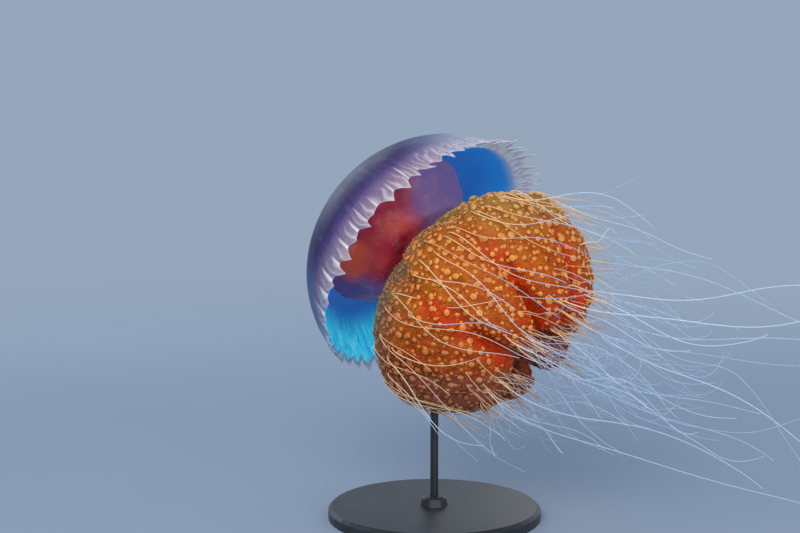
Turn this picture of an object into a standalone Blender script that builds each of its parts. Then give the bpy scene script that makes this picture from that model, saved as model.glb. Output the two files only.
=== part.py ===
"""Tomato jellyfish (Crambione mastigophora), a still life-size display model on a rod stand.

The jelly is modelled upright about its own axis and then leaned, so that it swims up and away.
Metres, +Z up.  The origin is the centre of the underside of the stand's base, +X is to the right
of the animal's front and +Y is behind it.

Body frame: the origin is the centre of the margin plane, where the bell's lappets end.  +Z runs
to the apex, azimuths turn from +X, the front, towards +Y, and arm depths are measured below the
margin plane.
"""
from collections import namedtuple
from math import acos, cos, pi, radians, sin, sqrt

import bmesh
import bpy
from mathutils import Matrix, Vector
from mathutils.bvhtree import BVHTree

# ---- whole animal
MARGIN_CENTRE = Vector((0.0, 0.022, 0.190))
APEX_HEADING = radians(139.5)
APEX_RISE = radians(31.0)
GAP = 0.0003

# ---- bell: two half ellipsoids, the outer skin and the cavity under it
BELL_RADIUS = 0.1005
BELL_HEIGHT = 0.0895
CAVITY_RADIUS = 0.0970
CAVITY_HEIGHT = 0.067
CROWN_EDGE = 0.046
CROWN_SIDES = 40
CROWN_RINGS = 6

# ---- margin: eight octants, each with its lappets
OCTANTS = 8
LAPPETS_PER_OCTANT = 8
LAPPET_ROOT = 0.0115
CLEFT_DEPTH = 0.0010
LAPPET_TIP_THICKNESS = 0.0011
MARGIN_ROWS = (CROWN_EDGE, 0.030, LAPPET_ROOT)
FLARE_MEAN = 0.003
FLARE_FRONT_TO_BACK = 0.005
FLARE_SIDE = 0.011
FLARE_SIDE_AZIMUTH = radians(100.0)

# ---- stomach: the four-sided purse that hangs in the bell
STOMACH_FLOOR = 0.0096
STOMACH_WALL = ((0.039, 0.064), (0.031, 0.060), (0.023, 0.054), (0.016, 0.048), (0.0112, 0.043))
STOMACH_FOLD = 0.05

# ---- oral arms: eight frilled lobes, each between two grooves
GROOVES_DEG = (-67.0, -12.0, 28.0, 70.4, 112.8, 155.2, 197.6, 240.0)
ARM_LENGTHS = (0.118, 0.121, 0.122, 0.120, 0.112, 0.111, 0.109, 0.110)
ARM_TOP = -0.009
ARM_PROFILE = ((-0.08, 0.045), (0.0, 0.062), (0.08, 0.0755), (0.22, 0.088), (0.40, 0.0935), (0.58, 0.0900),
               (0.76, 0.0820), (0.90, 0.0710), (1.0, 0.060))
ARM_INNER_TOP = 0.003
ARM_INNER_END = 0.018
ARM_TOP_POLE = 0.030
ARM_END_POLE = 0.047
ARM_RINGS = 12
ARM_RING_POINTS = 14
ARM_TOP_BOXINESS = 0.22
ARM_END_BOXINESS = 0.62
ARM_CAP_SHARPNESS = 0.42
ARM_SHOULDER_SHARPNESS = 0.14
ARM_RIPPLE = 0.0012

# ---- filaments: whips that trail from the ends of the arms
FILAMENT_ROOT_RADIUS = 0.0008
FILAMENT_TIP_RADIUS = 0.0005
FILAMENT_STEP = 0.028
FILAMENT_SIDES_RESOLUTION = 1
HANDLE_SHARE = 0.30
SWAY = 0.0035
SWAY_DEPTH = 0.35
SWAY_TURNS = 1.1
PHASE_STEP = 1.7
ARMS_MIDDLE = 0.060
PROBE_DISTANCE = 0.110
TRAIL = Vector((0.86, -0.36, -0.36)).normalized()
# Root azimuth and polar angle about the arms' middle, tip, pitch and yaw of the last stretch, and the
# number of lengths; angles are in degrees.
Filament = namedtuple("Filament", "azimuth polar tip pitch yaw lengths")
FILAMENTS = (
    Filament(84, 66, (0.130, -0.020, 0.216), -60, -10, 1),
    Filament(100, 72, (0.155, 0.010, 0.208), 2, -10, 1),
    Filament(88, 60, (0.290, -0.100, 0.145), -22, -20, 2),
    Filament(104, 60, (0.182, 0.000, 0.192), 45, -15, 1),
    Filament(96, 46, (0.288, -0.060, 0.182), 2, -15, 2),
    Filament(62, 48, (0.182, -0.120, 0.172), 45, -25, 1),
    Filament(48, 38, (0.262, -0.170, 0.186), 26, -22, 2),
    Filament(80, 34, (0.228, -0.080, 0.151), 38, -15, 1),
    Filament(125, 40, (0.305, -0.030, 0.138), 4, -12, 2),
    Filament(50, 22, (0.255, -0.200, 0.154), 12, -30, 2),
    Filament(140, 30, (0.207, -0.020, 0.106), 12, -10, 1),
    Filament(10, 24, (0.203, -0.165, 0.113), -3, -30, 1),
    Filament(90, 16, (0.262, -0.100, 0.066), -46, -20, 2),
    Filament(170, 36, (0.228, 0.005, 0.074), -3, -8, 2),
    Filament(-20, 28, (0.203, -0.200, 0.091), -30, -35, 2),
    Filament(180, 24, (0.202, -0.055, 0.071), 8, -15, 1),
    Filament(-42, 30, (0.210, -0.150, 0.060), -42, -25, 2),
    Filament(-60, 36, (0.245, -0.205, 0.056), -20, -30, 2),
    Filament(215, 34, (0.140, 0.030, 0.040), -15, 0, 1),
    Filament(-118, 26, (0.085, -0.100, 0.072), -45, -20, 1),
    Filament(238, 28, (0.137, -0.045, 0.079), -60, -15, 1),
    Filament(-80, 46, (0.045, -0.110, 0.083), -50, -30, 1),
    Filament(-105, 52, (0.042, -0.060, 0.060), -50, -20, 1),
    Filament(222, 54, (0.090, 0.020, 0.044), -40, 0, 1),
    Filament(30, 46, (0.150, -0.205, 0.160), 5, -45, 1),
    Filament(-8, 46, (0.120, -0.230, 0.130), -25, -55, 1),
)

# ---- stand
BASE_RADIUS = 0.080
BASE_HEIGHT = 0.009
BASE_BEVEL = 0.0025
BOSS_RADIUS = 0.009
BOSS_HEIGHT = 0.007
BOSS_BEVEL = 0.0015
ROD_RADIUS = 0.003
ROD_SOCKET_DEPTH = 0.012
ROD_IN_ARM = 0.020
ROD_ARM = 7
STAND_SIDES = 48
ROD_SIDES = 16

COLOURS = {
    "bell": (0.32, 0.24, 0.52),
    "margin": (0.62, 0.54, 0.66),
    "stomach": (0.40, 0.05, 0.09),
    "arm": (0.62, 0.20, 0.03),
    "filament": (0.86, 0.80, 0.78),
    "stand": (0.10, 0.10, 0.11),
}


def body_matrix():
    apex = Vector((cos(APEX_RISE) * cos(APEX_HEADING), cos(APEX_RISE) * sin(APEX_HEADING), sin(APEX_RISE)))
    towards_front = Vector((0.0, -1.0, 0.0))
    front = (towards_front - towards_front.dot(apex) * apex).normalized()
    side = apex.cross(front)
    turn = Matrix((front, side, apex)).transposed().to_4x4()
    return Matrix.Translation(MARGIN_CENTRE) @ turn


BODY = body_matrix()


# ---------------------------------------------------------------- general tools

def clear_scene():
    for obj in list(bpy.data.objects):
        bpy.data.objects.remove(obj, do_unlink=True)


def make_collection(name):
    collection = bpy.data.collections.new(name)
    bpy.context.scene.collection.children.link(collection)
    return collection


def make_material(name, colour, roughness, metallic=0.0):
    material = bpy.data.materials.new(name)
    material.use_nodes = True
    shader = material.node_tree.nodes["Principled BSDF"]
    shader.inputs["Base Color"].default_value = (*colour, 1.0)
    shader.inputs["Roughness"].default_value = roughness
    shader.inputs["Metallic"].default_value = metallic
    return material


def object_from_bmesh(name, mesh_data, collection, material, parent=None):
    bmesh.ops.recalc_face_normals(mesh_data, faces=mesh_data.faces)
    mesh = bpy.data.meshes.new(name)
    mesh_data.to_mesh(mesh)
    mesh_data.free()
    mesh.shade_smooth()
    mesh.set_sharp_from_angle(angle=radians(40))
    obj = bpy.data.objects.new(name, mesh)
    collection.objects.link(obj)
    obj.data.materials.append(material)
    obj.parent = parent
    return obj


def make_turned(name, profile, sides, collection, material):
    """A body turned about Z from (radius, height) points that run down its outer side."""
    mesh = bpy.data.meshes.new(name)
    mesh.from_pydata([(r, 0.0, z) for r, z in profile], [(k, k + 1) for k in range(len(profile) - 1)], [])
    obj = bpy.data.objects.new(name, mesh)
    collection.objects.link(obj)
    obj.data.materials.append(material)
    screw = obj.modifiers.new("turn", "SCREW")
    screw.axis = "Z"
    screw.steps = sides
    screw.render_steps = sides
    screw.use_merge_vertices = True
    screw.merge_threshold = 0.00005
    screw.use_smooth_shade = True
    return obj


def polar(radius, azimuth, height):
    return Vector((radius * cos(azimuth), radius * sin(azimuth), height))


def smooth_lookup(points, x):
    """The value at x of the smooth curve through a short list of (x, value) points."""
    last = len(points) - 2
    i = next((k for k in range(last + 1) if x <= points[k + 1][0]), last)
    (x1, y1), (x2, y2) = points[i], points[i + 1]
    x0, y0 = points[i - 1] if i > 0 else (2 * x1 - x2, 2 * y1 - y2)
    x3, y3 = points[i + 2] if i < last else (2 * x2 - x1, 2 * y2 - y1)
    slope1 = (y2 - y0) / (x2 - x0)
    slope2 = (y3 - y1) / (x3 - x1)
    span = x2 - x1
    t = min(max((x - x1) / span, 0.0), 1.0)
    start = (2 * t ** 3 - 3 * t ** 2 + 1) * y1 + (t ** 3 - 2 * t ** 2 + t) * span * slope1
    return start + (-2 * t ** 3 + 3 * t ** 2) * y2 + (t ** 3 - t ** 2) * span * slope2


def between(start, end, share):
    return start + (end - start) * share


def signed_power(value, power):
    return abs(value) ** power * (1 if value >= 0 else -1)


def add_ring(mesh_data, points):
    return [mesh_data.verts.new(p) for p in points]


def bridge(mesh_data, lower, upper):
    for i in range(len(lower)):
        j = (i + 1) % len(lower)
        mesh_data.faces.new((lower[i], lower[j], upper[j], upper[i]))


def close_to_point(mesh_data, ring, point):
    pole = mesh_data.verts.new(point)
    for i, vert in enumerate(ring):
        mesh_data.faces.new((vert, ring[(i + 1) % len(ring)], pole))


# ---------------------------------------------------------------- bell

def bell_radius(height):
    return BELL_RADIUS * sqrt(max(1.0 - (height / BELL_HEIGHT) ** 2, 0.0))


def cavity_radius(height):
    return CAVITY_RADIUS * sqrt(max(1.0 - (height / CAVITY_HEIGHT) ** 2, 0.0))


def arc_down(radius, top, edge, steps):
    """Points of a quarter ellipse from the axis at its top down to the height of its edge."""
    end = acos(edge / top)
    return [(radius * sin(end * k / steps), top * cos(end * k / steps)) for k in range(steps + 1)]


def make_crown(collection, material, parent):
    edge = CROWN_EDGE + GAP / 2
    outer = arc_down(BELL_RADIUS, BELL_HEIGHT, edge, CROWN_RINGS)
    inner = arc_down(CAVITY_RADIUS, CAVITY_HEIGHT, edge, CROWN_RINGS)
    crown = make_turned("bell_crown", outer + inner[::-1], CROWN_SIDES, collection, material)
    crown.parent = parent


def lappet_flare(azimuth):
    side = max(cos(azimuth - FLARE_SIDE_AZIMUTH), 0.0) ** 2
    return FLARE_MEAN - FLARE_FRONT_TO_BACK * cos(azimuth) + FLARE_SIDE * side


def margin_column(azimuth, is_tip):
    """Outer and inner points of one column of the margin, from the crown down to the lip."""
    heights = [h - (GAP / 2 if h == CROWN_EDGE else 0.0) for h in MARGIN_ROWS]
    outer = [polar(bell_radius(h), azimuth, h) for h in heights]
    inner = [polar(cavity_radius(h), azimuth, h) for h in heights]
    lip_height = 0.0 if is_tip else LAPPET_ROOT - CLEFT_DEPTH
    lip_radius = bell_radius(LAPPET_ROOT) + lappet_flare(azimuth) * (1.0 - lip_height / LAPPET_ROOT)
    outer.append(polar(lip_radius, azimuth, lip_height))
    thickness = LAPPET_TIP_THICKNESS if is_tip else 2 * LAPPET_TIP_THICKNESS
    inner.append(polar(lip_radius - thickness, azimuth, lip_height))
    return outer, inner


def make_margin_octant(index, collection, material, parent):
    """One eighth of the bell's side wall with a saw-toothed lip, as a slab between two skins."""
    steps = 2 * LAPPETS_PER_OCTANT
    half_gap = GAP / 2 / CAVITY_RADIUS
    start = 2 * pi * index / OCTANTS + half_gap
    span = 2 * pi / OCTANTS - 2 * half_gap
    mesh_data = bmesh.new()
    rings = []
    for j in range(steps + 1):
        outer, inner = margin_column(start + span * j / steps, j % 2 == 1)
        rings.append(add_ring(mesh_data, outer + inner[::-1]))
    for near, far in zip(rings, rings[1:]):
        bridge(mesh_data, near, far)
    rows = len(MARGIN_ROWS) + 1
    for ring in (rings[0], rings[-1]):
        for k in range(rows - 1):
            mesh_data.faces.new((ring[k], ring[k + 1], ring[2 * rows - 2 - k], ring[2 * rows - 1 - k]))
    object_from_bmesh(f"bell_margin_{index + 1}", mesh_data, collection, material, parent)


# ---------------------------------------------------------------- stomach

def make_stomach(collection, material, parent):
    """Its roof lies against the cavity of the bell, and its wall draws in to the arms."""
    mesh_data = bmesh.new()
    azimuths = [2 * pi * k / CROWN_SIDES for k in range(CROWN_SIDES)]
    roof = arc_down(CAVITY_RADIUS - GAP, CAVITY_HEIGHT - GAP, CROWN_EDGE + GAP / 2, CROWN_RINGS)
    rings = [add_ring(mesh_data, [polar(r, a, z - GAP) for a in azimuths]) for r, z in roof[1:]]
    for height, radius in STOMACH_WALL:
        fold = STOMACH_FOLD * (CROWN_EDGE - height) / (CROWN_EDGE - STOMACH_FLOOR)
        points = [polar(radius * (1 + fold * cos(4 * a)), a, height) for a in azimuths]
        rings.append(add_ring(mesh_data, points))
    for upper, lower in zip(rings, rings[1:]):
        bridge(mesh_data, lower, upper)
    close_to_point(mesh_data, rings[0], (0.0, 0.0, CAVITY_HEIGHT - 2 * GAP))
    close_to_point(mesh_data, rings[-1], (0.0, 0.0, STOMACH_FLOOR))
    object_from_bmesh("stomach", mesh_data, collection, material, parent)


# ---------------------------------------------------------------- oral arms

def arm_outer_radius(share, phase):
    fullness = sin(pi * min(max(share, 0.0), 1.0))
    return smooth_lookup(ARM_PROFILE, share) + ARM_RIPPLE * fullness * sin(5 * pi * share + phase)


def arm_ring(index, station, centre, half_width):
    """One closed section of an arm; station runs from 0 at its top to 1 at its end."""
    length = ARM_LENGTHS[index]
    depth = ARM_TOP + (length - ARM_TOP) * (1 - cos(pi * station)) / 2
    share = depth / length
    fullness = sin(pi * station) ** ARM_CAP_SHARPNESS
    pole = ARM_TOP_POLE + (ARM_END_POLE - ARM_TOP_POLE) * station
    outer = pole + (arm_outer_radius(share, index) - pole) * fullness
    inner = ARM_INNER_TOP + (ARM_INNER_END - ARM_INNER_TOP) * station ** 2
    inner = pole - (pole - inner) * fullness
    boxiness = between(ARM_TOP_BOXINESS, ARM_END_BOXINESS, station)
    width = sin(pi * station) ** between(ARM_SHOULDER_SHARPNESS, ARM_CAP_SHARPNESS, station)
    points = []
    for k in range(ARM_RING_POINTS):
        turn = 2 * pi * k / ARM_RING_POINTS
        radius = (outer + inner) / 2 + (outer - inner) / 2 * signed_power(cos(turn), boxiness)
        reach = (half_width - GAP / 2 / radius) * width
        points.append(polar(radius, centre + reach * signed_power(sin(turn), boxiness), -depth))
    return points


def make_arm(index, collection, material, parent):
    start = radians(GROOVES_DEG[index])
    end = radians(GROOVES_DEG[(index + 1) % OCTANTS])
    half_width = ((end - start) % (2 * pi)) / 2
    centre = start + half_width
    mesh_data = bmesh.new()
    rings = []
    for k in range(1, ARM_RINGS):
        rings.append(add_ring(mesh_data, arm_ring(index, k / ARM_RINGS, centre, half_width)))
    for upper, lower in zip(rings, rings[1:]):
        bridge(mesh_data, lower, upper)
    close_to_point(mesh_data, rings[0], polar(ARM_TOP_POLE, centre, -ARM_TOP))
    close_to_point(mesh_data, rings[-1], polar(ARM_END_POLE, centre, -ARM_LENGTHS[index]))
    return object_from_bmesh(f"oral_arm_{index + 1}", mesh_data, collection, material, parent)


# ---------------------------------------------------------------- filaments

def arms_surface(arms):
    """The arms' skin in world space, for finding where the filaments spring from it."""
    verts = []
    faces = []
    for arm in arms:
        first = len(verts)
        verts += [BODY @ v.co for v in arm.data.vertices]
        faces += [[first + i for i in p.vertices] for p in arm.data.polygons]
    return BVHTree.FromPolygons(verts, faces)


def filament_root(surface, azimuth, polar_angle):
    """The place on the arms that is nearest to a point outside them, and the way out from there."""
    direction = Vector((sin(polar_angle) * cos(azimuth), sin(polar_angle) * sin(azimuth), -cos(polar_angle)))
    probe = BODY @ (Vector((0.0, 0.0, -ARMS_MIDDLE)) + direction * PROBE_DISTANCE)
    point, _, _, _ = surface.find_nearest(probe)
    return point, (probe - point).normalized()


def bezier_point(handles, t):
    a, b, c, d = handles
    s = 1 - t
    return s ** 3 * a + 3 * s * s * t * b + 3 * s * t * t * c + t ** 3 * d


def filament_route(surface, spec, phase):
    """Points along a filament, from just clear of the arm's skin to its tip."""
    root, normal = filament_root(surface, radians(spec.azimuth), radians(spec.polar))
    root = root + normal * (GAP + FILAMENT_ROOT_RADIUS)
    tip = Vector(spec.tip)
    pitch = radians(spec.pitch)
    yaw = radians(spec.yaw)
    last = Vector((cos(pitch) * cos(yaw), cos(pitch) * sin(yaw), sin(pitch)))
    span = (tip - root).length
    handle = HANDLE_SHARE * span
    handles = (root, root + (TRAIL + normal).normalized() * handle, tip - last * handle, tip)
    steps = max(round(span / FILAMENT_STEP), 4)
    points = []
    for k in range(steps + 1):
        t = k / steps
        sway = SWAY * sin(pi * t) * sin(SWAY_TURNS * 2 * pi * t + phase)
        points.append(bezier_point(handles, t) + Vector((0.0, SWAY_DEPTH * sway, sway)))
    return points


def make_tube(name, points, radii, collection, material):
    curve = bpy.data.curves.new(name, "CURVE")
    curve.dimensions = "3D"
    curve.bevel_depth = 1.0
    curve.bevel_resolution = FILAMENT_SIDES_RESOLUTION
    curve.use_fill_caps = True
    spline = curve.splines.new("POLY")
    spline.points.add(len(points) - 1)
    for spline_point, place, radius in zip(spline.points, points, radii):
        spline_point.co = (*place, 1.0)
        spline_point.radius = radius
    spline.use_smooth = True
    obj = bpy.data.objects.new(name, curve)
    collection.objects.link(obj)
    obj.data.materials.append(material)


def make_filament(number, surface, spec, collection, material):
    """A long filament is two lengths that meet end to end; a short one is a single length."""
    name = f"filament_{number:02d}"
    points = filament_route(surface, spec, PHASE_STEP * number)
    last = len(points) - 1
    radii = [FILAMENT_ROOT_RADIUS + (FILAMENT_TIP_RADIUS - FILAMENT_ROOT_RADIUS) * k / last
             for k in range(last + 1)]
    if spec.lengths == 1:
        make_tube(name, points, radii, collection, material)
        return
    middle = last // 2
    onward = (points[middle + 1] - points[middle]).normalized()
    backward = (points[middle - 1] - points[middle]).normalized()
    near = points[:middle] + [points[middle] + backward * GAP]
    far = [points[middle] + onward * GAP] + points[middle + 1:]
    make_tube(name + "_near", near, radii[:middle + 1], collection, material)
    make_tube(name + "_far", far, radii[middle:], collection, material)


# ---------------------------------------------------------------- stand

def make_cylinder(name, radius, bottom, top, sides):
    mesh_data = bmesh.new()
    place = Matrix.Translation((0.0, 0.0, (bottom + top) / 2))
    bmesh.ops.create_cone(mesh_data, cap_ends=True, segments=sides, radius1=radius, radius2=radius,
                          depth=top - bottom, matrix=place)
    mesh = bpy.data.meshes.new(name)
    mesh_data.to_mesh(mesh)
    mesh_data.free()
    mesh.shade_smooth()
    mesh.set_sharp_from_angle(angle=radians(40))
    return bpy.data.objects.new(name, mesh)


def make_base(collection, material):
    """A turned disc with a bevelled rim, and a boss with a blind hole for the rod."""
    top = BASE_HEIGHT + BOSS_HEIGHT
    floor = top - ROD_SOCKET_DEPTH
    hole = ROD_RADIUS + GAP
    profile = ((0.0, floor), (hole, floor), (hole, top), (BOSS_RADIUS - BOSS_BEVEL, top),
               (BOSS_RADIUS, top - BOSS_BEVEL), (BOSS_RADIUS + BOSS_BEVEL, BASE_HEIGHT),
               (BASE_RADIUS - BASE_BEVEL, BASE_HEIGHT), (BASE_RADIUS, BASE_HEIGHT - BASE_BEVEL),
               (BASE_RADIUS, 0.0), (0.0, 0.0))
    make_turned("stand_base", profile, STAND_SIDES, collection, material)


def rod_top(surface):
    """How high the rod goes: a fixed way into the arm above the middle of the base."""
    point, _, _, _ = surface.ray_cast(Vector((0.0, 0.0, BASE_HEIGHT * 2)), Vector((0.0, 0.0, 1.0)))
    return point.z + ROD_IN_ARM


def make_rod(top, collection, material):
    bottom = BASE_HEIGHT + BOSS_HEIGHT - ROD_SOCKET_DEPTH + GAP
    rod = make_cylinder("stand_rod", ROD_RADIUS, bottom, top, ROD_SIDES)
    collection.objects.link(rod)
    rod.data.materials.append(material)


def cut_rod_socket(arm, top, cutters):
    socket = make_cylinder("rod_socket", ROD_RADIUS + GAP, BASE_HEIGHT * 2, top + GAP, ROD_SIDES)
    cutters.objects.link(socket)
    socket.hide_render = True
    socket.display_type = "WIRE"
    cut = arm.modifiers.new("rod_socket", "BOOLEAN")
    cut.operation = "DIFFERENCE"
    cut.solver = "EXACT"
    cut.object = socket


def main():
    clear_scene()
    parts = make_collection("tomato_jellyfish")
    cutters = make_collection("cutters")
    bell = make_material("bell", COLOURS["bell"], 0.2)
    margin = make_material("margin", COLOURS["margin"], 0.25)
    purse = make_material("stomach", COLOURS["stomach"], 0.4)
    frill = make_material("arm", COLOURS["arm"], 0.5)
    whip = make_material("filament", COLOURS["filament"], 0.3)
    metal = make_material("stand", COLOURS["stand"], 0.4, 0.6)

    frame = bpy.data.objects.new("body_frame", None)
    parts.objects.link(frame)
    frame.matrix_world = BODY

    make_crown(parts, bell, frame)
    for index in range(OCTANTS):
        make_margin_octant(index, parts, margin, frame)
    make_stomach(parts, purse, frame)
    arms = [make_arm(index, parts, frill, frame) for index in range(OCTANTS)]
    surface = arms_surface(arms)
    for number, spec in enumerate(FILAMENTS, start=1):
        make_filament(number, surface, spec, parts, whip)
    top = rod_top(surface)
    make_base(parts, metal)
    make_rod(top, parts, metal)
    cut_rod_socket(arms[ROD_ARM], top, cutters)


main()
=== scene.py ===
"""Looks of a life-size display model of a tomato jellyfish (Crambione mastigophora) on a rod stand.

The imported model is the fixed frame.  Around it this script builds the bell with its lappets, the
stomach, the eight frilled oral arms in one skin, their knobs and granules, and the whip-like
filaments, and it gives each of them a procedural finish.  Metres, +Z up.

Body frame: the origin is the centre of the margin plane, +Z runs to the apex of the bell, and
azimuths turn from +X, the front, towards +Y.  Depths along the arms are measured below the plane,
and an arm's share of its length is such a depth over ARM_LENGTH.
"""
from collections import namedtuple
from itertools import count
from math import acos, cos, pi, radians, sin

import bmesh
import bpy
import numpy as np
from bpy.props import FloatProperty, FloatVectorProperty, IntProperty, PointerProperty
from mathutils import Matrix, Vector, noise
from mathutils.bvhtree import BVHTree
from mathutils.kdtree import KDTree


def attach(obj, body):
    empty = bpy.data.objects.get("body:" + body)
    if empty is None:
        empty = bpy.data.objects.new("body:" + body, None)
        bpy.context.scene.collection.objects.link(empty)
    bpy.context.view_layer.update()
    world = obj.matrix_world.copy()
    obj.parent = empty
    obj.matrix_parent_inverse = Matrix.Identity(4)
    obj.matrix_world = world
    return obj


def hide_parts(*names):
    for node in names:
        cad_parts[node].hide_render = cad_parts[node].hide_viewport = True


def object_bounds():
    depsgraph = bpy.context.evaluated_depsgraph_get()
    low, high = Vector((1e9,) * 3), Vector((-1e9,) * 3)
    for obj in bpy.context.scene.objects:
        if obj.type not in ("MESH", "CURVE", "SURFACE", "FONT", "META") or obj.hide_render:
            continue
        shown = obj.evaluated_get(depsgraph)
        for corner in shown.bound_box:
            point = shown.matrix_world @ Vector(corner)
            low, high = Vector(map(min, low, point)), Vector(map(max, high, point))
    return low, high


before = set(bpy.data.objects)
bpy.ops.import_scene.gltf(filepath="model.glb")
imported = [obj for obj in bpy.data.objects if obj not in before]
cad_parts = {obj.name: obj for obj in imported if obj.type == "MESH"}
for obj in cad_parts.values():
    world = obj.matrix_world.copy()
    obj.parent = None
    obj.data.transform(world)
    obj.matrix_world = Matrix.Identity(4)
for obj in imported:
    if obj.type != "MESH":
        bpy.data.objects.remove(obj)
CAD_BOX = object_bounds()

bl_info = {
    "name": "Tomato jellyfish display model",
    "version": (1, 0, 0),
    "blender": (4, 5, 0),
    "location": "3D View > Sidebar > Jellyfish",
    "description": "Builds the visible surfaces of a life-size tomato jellyfish on its stand",
    "category": "Object",
}

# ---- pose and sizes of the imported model, which the visible surfaces keep to
MARGIN_CENTRE = Vector((0.0, 0.022, 0.19))
APEX_HEADING = radians(139.5)
APEX_RISE = radians(31.0)
BELL_RADIUS = 0.1005
BELL_HEIGHT = 0.0895
CAVITY_RADIUS = 0.097
CAVITY_HEIGHT = 0.067
LAPPET_ROOT = 0.0115
CLEFT_DEPTH = 0.001
FLARE_MEAN = 0.003
FLARE_FRONT_TO_BACK = 0.005
FLARE_SIDE = 0.011
FLARE_SIDE_AZIMUTH = radians(100.0)
GROOVES = tuple(radians(a) for a in (-67.0, -12.0, 28.0, 70.4, 112.8, 155.2, 197.6, 240.0))
ARM_LENGTH = 0.122
ARM_PROFILE = ((-0.08, 0.045), (0.0, 0.062), (0.08, 0.0755), (0.22, 0.088), (0.4, 0.0935),
               (0.58, 0.09), (0.76, 0.082), (0.9, 0.071), (1.0, 0.06))
MARGIN_NODES = tuple(f"bell_margin_{k}" for k in range(1, 9))
ARM_NODES = tuple(f"oral_arm_{k}" for k in range(1, 9))

# ---- bell mesh
LAPPETS = 64
COLUMNS_PER_LAPPET = 14
CROWN_ROWS = 34
LAPPET_ROWS = 12
LINING_ROWS = 26
LIP_THICKNESS = 0.0006
WIDE_LAPPETS_AT = radians(-45.0)
WIDE_LAPPETS_GAIN = 0.36
FOLDS_END = 0.04

# ---- oral arms mesh
COAT_DEPTH = 0.0016
SKIN_VOXEL = 0.00135
HEART_TOP = -0.005
HEART_END = 0.094
HEART_RINGS = 26
HEART_SEGMENTS = 72
HEART_SHARES = ((-0.05, 0.8), (0.06, 0.85), (0.18, 0.94), (0.3, 0.985), (0.48, 0.985), (0.58, 0.94),
                (0.68, 0.8), (0.78, 0.55))
HEART_HOLD = 0.13
HEART_HOLD_WIDTH = radians(20.0)
SHOULDER_DRAW = 0.0035
VALLEY_WIDTH = 0.0085
GROOVE_WIDTH = 0.0095
HOLLOW_WIDTH = 0.02
COVER_GAP = 0.0015

# ---- filaments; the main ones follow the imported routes
ARMS_MIDDLE = 0.06
PROBE_DISTANCE = 0.11
HANDLE_SHARE = 0.3
SWAY = 0.0035
SWAY_DEPTH = 0.35
SWAY_TURNS = 1.1
PHASE_STEP = 1.7
TRAIL = Vector((0.86, -0.36, -0.36)).normalized()
ROOT_LIFT = 0.0011
MAIN_ROOT_SUNK = 0.004
FINE_ROOT_SUNK = 0.003
NOTCH_DEPTH = 0.088
CURLED_SHARE = 0.3
DRAPE_START = -92.0
DRAPE_STEP = 4.9
DRAPE_PROBE = 0.14
DRAPE_HOLD = 0.02
LOWEST_FILAMENT = 0.03
REACH = (0.005, 0.024)

# Each main filament's root azimuth and polar angle about the arms' middle, its tip, and the pitch
# and yaw of its last stretch; angles are in degrees.
Whip = namedtuple("Whip", "azimuth polar tip pitch yaw")
MAIN_WHIPS = [Whip(*row) for row in (
    (84, 66, (0.13, -0.02, 0.216), -60, -10), (100, 72, (0.155, 0.01, 0.208), 2, -10),
    (88, 60, (0.29, -0.1, 0.145), -22, -20), (104, 60, (0.182, 0.0, 0.192), 45, -15),
    (96, 46, (0.288, -0.06, 0.182), 2, -15), (62, 48, (0.182, -0.12, 0.172), 45, -25),
    (48, 38, (0.262, -0.17, 0.186), 26, -22), (80, 34, (0.228, -0.08, 0.151), 38, -15),
    (125, 40, (0.305, -0.03, 0.138), 4, -12), (50, 22, (0.255, -0.2, 0.154), 12, -30),
    (140, 30, (0.207, -0.02, 0.106), 12, -10), (10, 24, (0.203, -0.165, 0.113), -3, -30),
    (90, 16, (0.262, -0.1, 0.066), -46, -20), (170, 36, (0.228, 0.005, 0.074), -3, -8),
    (-20, 28, (0.203, -0.2, 0.091), -30, -35), (180, 24, (0.202, -0.055, 0.071), 8, -15),
    (-42, 30, (0.21, -0.15, 0.06), -42, -25), (-60, 36, (0.245, -0.205, 0.056), -20, -30),
    (215, 34, (0.14, 0.03, 0.04), -15, 0), (-118, 26, (0.085, -0.1, 0.072), -45, -20),
    (238, 28, (0.137, -0.045, 0.079), -60, -15), (-80, 46, (0.045, -0.11, 0.083), -50, -30),
    (-105, 52, (0.042, -0.06, 0.06), -50, -20), (222, 54, (0.09, 0.02, 0.044), -40, 0),
    (30, 46, (0.15, -0.205, 0.16), 5, -45), (-8, 46, (0.12, -0.23, 0.13), -25, -55),
)]

# ---- camera
VIEW_DROP = radians(6.0)
CAMERA_DISTANCE = 1.1
FOCAL_LENGTH = 65.34
AIM = MARGIN_CENTRE + Vector((-0.0258, 0.0, -0.0026))

UV_BAKE = "OFBake"
PATCH = 0.003


def body_matrix():
    apex = Vector((cos(APEX_RISE) * cos(APEX_HEADING), cos(APEX_RISE) * sin(APEX_HEADING), sin(APEX_RISE)))
    towards_front = Vector((0.0, -1.0, 0.0))
    front = (towards_front - towards_front.dot(apex) * apex).normalized()
    turn = Matrix((front, apex.cross(front), apex)).transposed().to_4x4()
    return Matrix.Translation(MARGIN_CENTRE) @ turn


BODY = body_matrix()
TO_BODY = BODY.inverted()
APEX = Vector(BODY.col[2][:3])


def paint(red, green, blue):
    """A display colour from 0 to 255 as the linear colour that a shader takes."""
    scaled = [c / 255 for c in (red, green, blue)]
    return (*[c / 12.92 if c <= 0.04045 else ((c + 0.055) / 1.055) ** 2.4 for c in scaled], 1.0)


# ------------ shader tools

class Signal:
    """A shader socket that Python's operators work on; each operator adds a Math node."""

    def __init__(self, finish, socket):
        self.finish = finish
        self.socket = socket

    def __add__(self, other):
        return self.finish.maths("ADD", self, other)

    def __mul__(self, other):
        return self.finish.maths("MULTIPLY", self, other)

    def __sub__(self, other):
        return self.finish.maths("SUBTRACT", self, other)

    def __rsub__(self, other):
        return self.finish.maths("SUBTRACT", other, self)

    def __neg__(self):
        return self * -1.0

    __radd__ = __add__
    __rmul__ = __mul__


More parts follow.
